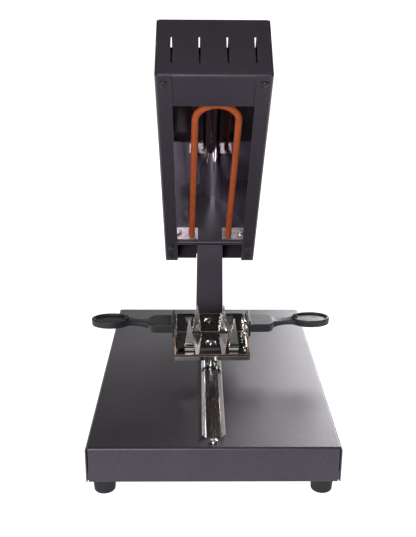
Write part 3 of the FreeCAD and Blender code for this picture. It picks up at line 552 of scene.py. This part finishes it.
def ceramic(mouldings):
    """Glazed ceramic with tiny pits and a little soot."""
    finish = Finish("ceramic")
    soot = finish.noise(0.004, detail=3.0)
    pits = finish.noise(0.0005, detail=1.0)
    base = finish.blend(
        finish.scale(soot, 0.5, 0.8, 0.0, 0.6), tuple(mouldings.ceramic), shade(mouldings.ceramic, 0.5)
    )
    finish.set("Base Color", base)
    finish.set("Roughness", finish.scale(pits, 0.3, 0.7, 0.22, 0.42))
    finish.relief((pits, 0.00005, 0.4))
    return finish.material


def dress(material, *nodes):
    """Give CAD pieces their finish."""
    for node in nodes:
        piece = frame["nodes"][node]
        if not piece.material_slots:
            raise RuntimeError(node + " has no material slot")
        for holder in piece.material_slots:
            holder.material = material


# ---------------------------------------------------------------- mesh helpers
def new_piece(name, bm, material, smooth=True):
    """An object from a bmesh, at the origin, with one finish."""
    mesh = bpy.data.meshes.new(name)
    bmesh.ops.recalc_face_normals(bm, faces=bm.faces)
    bm.to_mesh(mesh)
    bm.free()
    mesh.polygons.foreach_set("use_smooth", [smooth] * len(mesh.polygons))
    piece = bpy.data.objects.new(name, mesh)
    bpy.context.scene.collection.objects.link(piece)
    mesh.materials.append(material)
    return piece


def settle(piece):
    """Turn a piece and its modifiers into one plain mesh."""
    bpy.context.view_layer.update()
    depsgraph = bpy.context.evaluated_depsgraph_get()
    mesh = bpy.data.meshes.new_from_object(piece.evaluated_get(depsgraph))
    piece.modifiers.clear()
    old = piece.data
    piece.data = mesh
    mesh.name = piece.name
    bpy.data.meshes.remove(old)
    return piece


def fit(piece, node):
    """Let a piece stand for a CAD node and ride on its body."""
    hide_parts(node)
    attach(piece, BODY_OF[node])


def skin(bm, rings, closed=True):
    """Walls between rings of equal count; the ends are closed by one face each."""
    loops = [[bm.verts.new(point) for point in ring] for ring in rings]
    count = len(loops[0])
    for first, second in zip(loops, loops[1:]):
        for i in range(count):
            j = (i + 1) % count
            bm.faces.new((first[i], first[j], second[j], second[i]))
    if closed:
        bm.faces.new(loops[0][::-1])
        bm.faces.new(loops[-1])


def rounded_section(half_width, low, high, radius, steps=5):
    """Rounded rectangle as (y, z) points."""
    points = []
    corners = ((1, 1), (-1, 1), (-1, -1), (1, -1))
    for number, (side, up) in enumerate(corners):
        y = side * (half_width - radius)
        z = high - radius if up > 0 else low + radius
        for step in range(steps + 1):
            angle = math.pi / 2 * (number + step / steps)
            points.append((y + radius * math.cos(angle), z + radius * math.sin(angle)))
    return points


# ---------------------------------------------------------------- handles
def tray_point(x, y, z):
    """Point of the tray in millimetres from its swivel axis and its floor, in the row frame."""
    turned = Matrix.Rotation(TRAY_YAW, 3, "Z") @ Vector((x * MM, y * MM, 0.0))
    return Vector((TRAY_AXIS.x + turned.x, TRAY_AXIS.y + turned.y, TRAY_FLOOR + z * MM))


def handle_body(bm, sign, sizes):
    """Flange, block and neck, as closed skins along the handle."""
    middle = sizes.middle / MM
    lift = sizes.lift / MM
    flange = ((48.0, 20.9, -10.5, 10.9, 1.4), (50.2, 21.0, -10.6, 11.0, 1.4), (50.9, 20.4, -10.0, 10.4, 1.2))
    block = ((49.5, 18.6, -5.9, 5.9, 1.0), (51.6, 18.3, -5.5, 5.5, 0.9), (73.0, 18.2, -5.5, 5.5, 0.9),
             (76.0, 17.5, -5.5, 5.5, 1.4), (78.6, 15.0, -5.4, 5.5, 1.6), (80.6, 11.6, -5.2, 5.4, 1.8),
             (81.8, 8.8, -4.6, 5.1, 1.8), (83.4, 7.5, -3.6, 4.9, 1.8), (87.0, 6.7, -2.3, 4.7, 1.7),
             (93.0, 6.2, -1.2, 4.9, 1.6), (100.0, 6.3, -0.4, 5.6, 1.6), (106.0, 7.6, 0.1, 6.5, 1.7),
             (111.0, 9.6, 0.3, 7.3, 1.8), (115.0, 10.6, 0.5, 7.0, 1.8))
    for stations in (flange, block):
        rings = []
        for x, half_width, low, high, radius in stations:
            section = rounded_section(half_width, lift + low, lift + high, radius)
            rings.append([tray_point(sign * x, middle + y, z) for y, z in section])
        skin(bm, rings)


def handle_oval(bm, sign, sizes):
    """Oval cup: draughted wall, round rim and a shallow dish with a raised floor."""
    middle = sizes.middle / MM
    lift = sizes.lift / MM
    major = sizes.oval_length / MM / 2
    minor = sizes.oval_width / MM / 2
    centre = sizes.reach / MM - major
    rim = sizes.rim / MM
    outer = ((-7.0, -0.4), (-1.4, -0.4), (-0.6, 0.1), (-0.3, 1.0), (0.0, 7.6), (-0.2, 8.5), (-0.8, 8.9),
             (-rim + 0.3, 8.9), (-rim - 0.3, 8.4), (-rim - 0.8, 7.3), (-rim - 1.6, 6.6), (-rim - 3.0, 6.45),
             (-rim - 8.0, 6.7))
    count = 72
    rings = []
    for offset, z in outer:
        ring = []
        for i in range(count):
            angle = 2 * math.pi * i / count
            x = centre + (major + offset) * math.cos(angle)
            y = middle + (minor + offset) * math.sin(angle)
            ring.append(tray_point(sign * x, y, lift + z))
        rings.append(ring)
    skin(bm, rings)


def handle_nub(bm, sign, sizes):
    """Pointed thumb stop on the rim's inner end, with a wide gusset below it."""
    middle = sizes.middle / MM
    lift = sizes.lift / MM
    start = (sizes.reach - sizes.oval_length) / MM
    stations = ((3.5, 7.5, 4.6, 6.8), (6.2, 5.6, 4.6, 4.9), (8.2, 3.9, 4.4, 3.2), (10.2, 2.5, 4.2, 2.1),
                (12.0, 1.5, 4.1, 1.4), (12.8, 0.8, 4.1, 0.8))
    count = 20
    rings = []
    for z, half_x, shift, half_y in stations:
        ring = []
        for i in range(count):
            angle = 2 * math.pi * i / count
            x = start + shift + half_x * math.cos(angle)
            ring.append(tray_point(sign * x, middle + half_y * math.sin(angle), lift + z))
        rings.append(ring)
    skin(bm, rings)


def mould_handle(name, sign, sizes, material):
    """One handle, its parts blended into a single moulding."""
    bm = bmesh.new()
    handle_body(bm, sign, sizes)
    handle_oval(bm, sign, sizes)
    handle_nub(bm, sign, sizes)
    piece = new_piece(name, bm, material)
    blended = piece.modifiers.new("Blend", "REMESH")
    blended.mode = "VOXEL"
    blended.voxel_size = sizes.voxel
    blended.use_smooth_shade = True
    softened = piece.modifiers.new("Soften", "SMOOTH")
    softened.factor = 0.5
    softened.iterations = 3
    lighter = piece.modifiers.new("Lighten", "DECIMATE")
    lighter.ratio = 0.35
    return settle(piece)


# ---------------------------------------------------------------- screws
def solids_of(node):
    """Corner points of each solid of a CAD node."""
    bm = bmesh.new()
    bm.from_mesh(frame["nodes"][node].data)
    bmesh.ops.remove_doubles(bm, verts=bm.verts, dist=0.001 * MM)
    left = set(bm.verts)
    found = []
    for start in bm.verts:
        if start not in left:
            continue
        left.remove(start)
        queue = [start]
        group = []
        while queue:
            vert = queue.pop()
            group.append(vert.co.copy())
            for edge in vert.link_edges:
                other = edge.other_vert(vert)
                if other in left:
                    left.remove(other)
                    queue.append(other)
        found.append(group)
    bm.free()
    return found


def measure_screw(points, out):
    """Centre under the head, head radius, head height and shank sizes of a screw that points along out."""
    side = out.orthogonal().normalized()
    other = out.cross(side)
    u = [p.dot(side) for p in points]
    v = [p.dot(other) for p in points]
    axis = side * ((min(u) + max(u)) / 2) + other * ((min(v) + max(v)) / 2)
    along = [p.dot(out) for p in points]
    radial = [(p - axis - out * p.dot(out)).length for p in points]
    radius = max(radial)
    under = min(a for a, r in zip(along, radial) if r > 0.9 * radius)
    shank = max((r for a, r in zip(along, radial) if a < under - 0.2 * MM), default=radius / 2)
    return axis + out * under, radius, max(along) - under, under - min(along), shank


def cross_recess(radius, height):
    """Tapered cross that is taken out of a head, as a bmesh."""
    bm = bmesh.new()
    rings = []
    for z, arm, half in ((height * 1.4, 0.66, 0.155), (height, 0.60, 0.135), (height * 0.30, 0.30, 0.075)):
        a = radius * arm
        w = radius * half
        outline = ((a, w), (w, w), (w, a), (-w, a), (-w, w), (-a, w), (-a, -w), (-w, -w), (-w, -a), (w, -a),
                   (w, -w), (a, -w))
        rings.append([Vector((x, y, z)) for x, y in outline])
    skin(bm, rings[::-1])
    return bm


def turn_screw(name, points, out, material, turn):
    """One pan head with a domed top, a cross recess and its shank."""
    base, radius, height, reach, shank = measure_screw(points, out)
    profile = ((shank, -reach), (shank, -0.05 * MM), (radius * 0.97, 0.0), (radius, height * 0.10),
               (radius, height * 0.38), (radius * 0.97, height * 0.58), (radius * 0.89, height * 0.76),
               (radius * 0.74, height * 0.90), (radius * 0.52, height * 0.97), (radius * 0.25, height))
    count = 40
    rings = []
    for r, z in profile:
        rings.append([
            Vector((r * math.cos(2 * math.pi * i / count), r * math.sin(2 * math.pi * i / count), z))
            for i in range(count)
        ])
    bm = bmesh.new()
    skin(bm, rings)
    piece = new_piece(name, bm, material)
    tool = new_piece(name + "_recess", cross_recess(radius, height), material)
    cut = piece.modifiers.new("Recess", "BOOLEAN")
    cut.object = tool
    cut.operation = "DIFFERENCE"
    cut.solver = "EXACT"
    soft = piece.modifiers.new("Edges", "BEVEL")
    soft.width = radius * 0.025
    soft.segments = 2
    soft.limit_method = "ANGLE"
    soft.angle_limit = math.radians(38)
    settle(piece)
    bpy.data.objects.remove(tool)
    frame_of_screw = Matrix.Translation(base) @ out.to_track_quat("Z", "Y").to_matrix().to_4x4()
    piece.data.transform(frame_of_screw @ Matrix.Rotation(turn, 4, "Z"))
    return piece


def turn_screws(node, out_of, material):
    """All screws of a CAD node, joined into one piece that stands for it."""
    made = []
    for number, points in enumerate(solids_of(node)):
        middle = sum(points, Vector()) / len(points)
        screw = turn_screw(
            "%s_turned_%d" % (node, number), points, out_of(middle), material, 0.7 + 1.13 * number
        )
        made.append(screw)
    bm = bmesh.new()
    for screw in made:
        bm.from_mesh(screw.data)
        bpy.data.objects.remove(screw)
    mesh_smooth = new_piece(node + "_turned", bm, material)
    mesh_smooth.data.set_sharp_from_angle(angle=math.radians(40))
    fit(mesh_smooth, node)
    return mesh_smooth


def sideways(middle):
    """Out of the nearer side wall."""
    return Vector((math.copysign(1.0, middle.x), 0.0, 0.0))


def into_tray(middle):
    """From a side wall of the tray towards its middle."""
    return Matrix.Rotation(TRAY_YAW, 3, "Z") @ Vector((-math.copysign(1.0, middle.x), 0.0, 0.0))


# ---------------------------------------------------------------- operators
class MELTER_OT_coat_steel(bpy.types.Operator):
    """Powder coat the base, the post and the panels of the head"""

    bl_idname = "melter.coat_steel"
    bl_label = "Coat Steel"

    def execute(self, context):
        material = powder_coat(context.scene.melter_coating)
        dress(material, "base_shell", "bottom_plate", "post", "head_side_left", "head_side_right",
              "head_cover", "head_end_wall", "terminal_wall")
        return {"FINISHED"}


class MELTER_OT_polish_tray(bpy.types.Operator):
    """Polish the cheese plate and its cradle and brown their cut edges"""

    bl_idname = "melter.polish_tray"
    bl_label = "Polish Tray"

    def execute(self, context):
        metals = context.scene.melter_metals
        low = TRAY_FLOOR - SHEET
        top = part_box("tray_cradle")[1].z
        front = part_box("cheese_plate")[0].y + 3.0 * MM
        walls = TRAY_AXIS.y - 11.0 * MM
        plate = tray_steel(metals, "polished_steel_plate", low - 0.4 * MM, TRAY_FLOOR + 0.2 * MM, front,
                           TRAY_AXIS.y + 32.5 * MM)
        dress(plate, "cheese_plate")
        dress(tray_steel(metals, "polished_steel_cradle", TRAY_FLOOR, top + MM, walls, -1.0), "tray_cradle")
        return {"FINISHED"}


class MELTER_OT_polish_rail(bpy.types.Operator):
    """Polish the rail and the turned parts that run in it"""

    bl_idname = "melter.polish_rail"
    bl_label = "Polish Rail"

    def execute(self, context):
        metals = context.scene.melter_metals
        dress(rail_steel(metals), "slide_rail")
        dress(turned_steel(metals), "glide_foot", "stud")
        return {"FINISHED"}


class MELTER_OT_brighten_reflector(bpy.types.Operator):
    """Give the reflector and its end plate their bright sheet"""

    bl_idname = "melter.brighten_reflector"
    bl_label = "Brighten Reflector"

    def execute(self, context):
        dress(mirror_sheet(context.scene.melter_metals), "reflector", "reflector_end_plate")
        return {"FINISHED"}


class MELTER_OT_stain_element(bpy.types.Operator):
    """Stain the heating element"""

    bl_idname = "melter.stain_element"
    bl_label = "Stain Element"

    def execute(self, context):
        dress(heated_tube(context.scene.melter_mouldings), "heating_element")
        return {"FINISHED"}


class MELTER_OT_plate_zinc(bpy.types.Operator):
    """Zinc the two plates round the element's legs"""

    bl_idname = "melter.plate_zinc"
    bl_label = "Zinc Plates"

    def execute(self, context):
        dress(zinc_plate(context.scene.melter_metals), "element_plate_left", "element_plate_right")
        return {"FINISHED"}


class MELTER_OT_fire_ceramic(bpy.types.Operator):
    """Glaze the bushes and the terminal block"""

    bl_idname = "melter.fire_ceramic"
    bl_label = "Fire Ceramic"

    def execute(self, context):
        dress(ceramic(context.scene.melter_mouldings), "element_bushes", "terminal_block")
        return {"FINISHED"}


class MELTER_OT_mould_feet(bpy.types.Operator):
    """Give the four feet their rubber"""

    bl_idname = "melter.mould_feet"
    bl_label = "Mould Feet"

    def execute(self, context):
        dress(rubber(context.scene.melter_mouldings), "foot_front_left", "foot_front_right",
              "foot_rear_left", "foot_rear_right")
        return {"FINISHED"}


class MELTER_OT_finish_hinge(bpy.types.Operator):
    """Finish the hinge and the plain steel parts inside"""

    bl_idname = "melter.finish_hinge"
    bl_label = "Finish Hinge"

    def execute(self, context):
        metals = context.scene.melter_metals
        dress(inner_steel(metals), "post_bracket", "post_bolts", "foot_screws", "hinge_bracket")
        return {"FINISHED"}


class MELTER_OT_mould_switch(bpy.types.Operator):
    """Give the switch, the gland and the friction rings their plastic"""

    bl_idname = "melter.mould_switch"
    bl_label = "Mould Switch"

    def execute(self, context):
        # The wall plug is painted shade: a black piece set into the small slot of the head's end wall so that the
        # slot reads dark.
        dress(switch_plastic(context.scene.melter_mouldings), "switch_housing", "switch_rocker",
              "cord_gland", "hinge_washers", "wall_plug")
        return {"FINISHED"}


class MELTER_OT_mould_handles(bpy.types.Operator):
    """Mould the two handles with their block, neck, oval cup and thumb stop"""

    bl_idname = "melter.mould_handles"
    bl_label = "Mould Handles"

    def execute(self, context):
        material = handle_plastic(context.scene.melter_mouldings)
        for name, sign in (("handle_left", -1), ("handle_right", 1)):
            fit(mould_handle(name + "_moulded", sign, context.scene.melter_handle, material), name)
        return {"FINISHED"}


class MELTER_OT_turn_bright_screws(bpy.types.Operator):
    """Turn the bright screws of the element plates, rail, tray and handles"""

    bl_idname = "melter.turn_bright_screws"
    bl_label = "Turn Bright Screws"

    def execute(self, context):
        material = bright_screw(context.scene.melter_metals)
        turn_screws("element_plate_screws", lambda middle: HEAD_UP, material)
        turn_screws("rail_stop_screw", lambda middle: Vector((0.0, 0.0, 1.0)), material)
        pivot = turned_steel(context.scene.melter_metals)
        turn_screws("pivot_screw", lambda middle: Vector((0.0, 0.0, 1.0)), pivot)
        turn_screws("handle_screws", into_tray, material)
        return {"FINISHED"}


class MELTER_OT_turn_black_screws(bpy.types.Operator):
    """Turn the black screws of the head and the base"""

    bl_idname = "melter.turn_black_screws"
    bl_label = "Turn Black Screws"

    def execute(self, context):
        material = black_screw(context.scene.melter_metals)
        turn_screws("head_flange_screws", lambda middle: -HEAD_BACK, material)
        turn_screws("cover_screws", lambda middle: HEAD_BACK, material)
        turn_screws("bottom_plate_screws", sideways, material)
        dress(material, "hinge_pin")
        return {"FINISHED"}


FLOOR_BEND = 0.4           # radius of the floor's turned-up back
BEND_STEPS = 8
FLOOR_DROP = 0.2 * MM      # floor under the feet
MELTER_MIDDLE = (0.0, 0.0, 0.2)

# Each lamp's name, place, aim, width, height and setting of its power.
LAMPS = (
    ("front_box", (-0.6, -2.1, 0.85), MELTER_MIDDLE, 0.8, 0.6, "front_power"),
    ("back_box", (1.0, 1.9, 1.0), (0.1, 0.0, 0.1), 1.3, 0.9, "back_power"),
    ("left_box", (-1.6, -0.1, 0.6), MELTER_MIDDLE, 1.2, 1.2, "side_power"),
    ("right_box", (1.6, -0.1, 0.6), MELTER_MIDDLE, 1.2, 1.2, "side_power"),
    ("top_box", (0.0, -0.4, 2.0), MELTER_MIDDLE, 0.8, 0.45, "top_power"),
)


def soft_box(name, place, aim, width, height, power):
    """A plain soft lamp."""
    lamp = bpy.data.lights.new(name, "AREA")
    lamp.shape = "RECTANGLE"
    lamp.size = width
    lamp.size_y = height
    lamp.energy = power
    holder = bpy.data.objects.new(name, lamp)
    bpy.context.scene.collection.objects.link(holder)
    holder.location = place
    holder.rotation_mode = "QUATERNION"
    holder.rotation_quaternion = (Vector(aim) - Vector(place)).to_track_quat("-Z", "Y")
    return holder


def studio_floor(studio):
    """Wide pale floor under the feet, turned up behind."""
    half = studio.floor_size / 2
    radius = FLOOR_BEND
    profile = [(-half, 0.0), (half - radius, 0.0)]
    for step in range(1, BEND_STEPS + 1):
        angle = math.pi / 2 * step / BEND_STEPS
        profile.append((half - radius + radius * math.sin(angle), radius - radius * math.cos(angle)))
    profile.append((half, studio.wall_height))
    bm = bmesh.new()
    left = [bm.verts.new((-2 * half, y, z - FLOOR_DROP)) for y, z in profile]
    right = [bm.verts.new((2 * half, y, z - FLOOR_DROP)) for y, z in profile]
    for i in range(len(profile) - 1):
        bm.faces.new((left[i], right[i], right[i + 1], left[i + 1]))
    finish = Finish("floor")
    grain = finish.noise(0.4, detail=2.0)
    finish.set("Base Color", finish.blend(grain, (0.44, 0.44, 0.44), (0.46, 0.46, 0.46)))
    finish.set("Roughness", 0.9)
    finish.set("Specular IOR Level", 0.0)
    finish.set("Emission Color", (1.0, 1.0, 1.0, 1.0))
    spot = finish.add("ShaderNodeSeparateXYZ", Vector=finish.place.outputs["Object"])
    glow = finish.scale(spot.outputs["Y"], -0.65, -0.30, studio.floor_glow * 0.12, studio.floor_glow)
    finish.set("Emission Strength", glow)
    new_piece("floor", bm, finish.material, smooth=False)


def aim_camera(studio):
    """Camera in front of the melter, looking down on it."""
    look = Vector((
        math.sin(studio.yaw) * math.cos(studio.pitch),
        math.cos(studio.yaw) * math.cos(studio.pitch),
        -math.sin(studio.pitch),
    ))
    right = look.cross(Vector((0.0, 0.0, 1.0))).normalized()
    up = right.cross(look)
    leaned_right = right * math.cos(studio.roll) + up * math.sin(studio.roll)
    leaned_up = up * math.cos(studio.roll) - right * math.sin(studio.roll)
    camera = bpy.data.cameras.new("camera")
    camera.lens = studio.lens
    camera.sensor_width = 36.0
    camera.clip_start = 0.01
    camera.clip_end = 200.0
    holder = bpy.data.objects.new("camera", camera)
    bpy.context.scene.collection.objects.link(holder)
    turn = Matrix((leaned_right, leaned_up, -look)).transposed()
    holder.matrix_world = Matrix.Translation(Vector(studio.station)) @ turn.to_4x4()
    bpy.context.scene.camera = holder


class MELTER_OT_set_stage(bpy.types.Operator):
    """Lay the floor, hang the soft lamps and aim the camera"""

    bl_idname = "melter.set_stage"
    bl_label = "Set Stage"

    def execute(self, context):
        studio = context.scene.melter_studio
        studio_floor(studio)
        world = bpy.data.worlds.new("studio")
        world.use_nodes = True
        room = world.node_tree.nodes["Background"]
        room.inputs["Color"].default_value = (1.0, 1.0, 1.0, 1.0)
        room.inputs["Strength"].default_value = studio.room
        context.scene.world = world
        for name, place, aim, width, height, power in LAMPS:
            soft_box(name, place, aim, width, height, getattr(studio, power))
        aim_camera(studio)
        context.scene.view_settings.view_transform = "Standard"
        return {"FINISHED"}


STEPS = (
    MELTER_OT_coat_steel,
    MELTER_OT_polish_tray,
    MELTER_OT_polish_rail,
    MELTER_OT_brighten_reflector,
    MELTER_OT_stain_element,
    MELTER_OT_plate_zinc,
    MELTER_OT_fire_ceramic,
    MELTER_OT_mould_feet,
    MELTER_OT_finish_hinge,
    MELTER_OT_mould_switch,
    MELTER_OT_mould_handles,
    MELTER_OT_turn_bright_screws,
    MELTER_OT_turn_black_screws,
    MELTER_OT_set_stage,
)

SETTINGS = {
    "melter_coating": MelterCoating,
    "melter_metals": MelterMetals,
    "melter_mouldings": MelterMouldings,
    "melter_handle": MelterHandle,
    "melter_studio": MelterStudio,
}


class MELTER_PT_sidebar(bpy.types.Panel):
    """Steps and settings of the melter"""

    bl_idname = "MELTER_PT_sidebar"
    bl_label = "Raclette Melter"
    bl_space_type = "VIEW_3D"
    bl_region_type = "UI"
    bl_category = "Melter"

    def draw(self, context):
        for step in STEPS:
            self.layout.operator(step.bl_idname)
        for name, group in SETTINGS.items():
            box = self.layout.box()
            box.label(text=group.__doc__)
            for setting in group.__annotations__:
                box.prop(getattr(context.scene, name), setting)


def register():
    """Add the settings, steps and panel to Blender."""
    for name, group in SETTINGS.items():
        bpy.utils.register_class(group)
        setattr(bpy.types.Scene, name, PointerProperty(type=group))
    for step in STEPS:
        bpy.utils.register_class(step)
    bpy.utils.register_class(MELTER_PT_sidebar)


def unregister():
    """Take the settings, steps and panel out of Blender."""
    bpy.utils.unregister_class(MELTER_PT_sidebar)
    for step in reversed(STEPS):
        bpy.utils.unregister_class(step)
    for name, group in SETTINGS.items():
        delattr(bpy.types.Scene, name)
        bpy.utils.unregister_class(group)


def main():
    """Build everything in order."""
    register()
    for step in STEPS:
        group, action = step.bl_idname.split(".")
        getattr(getattr(bpy.ops, group), action)()
    bpy.context.view_layer.update()


if __name__ == "__main__":
    main()
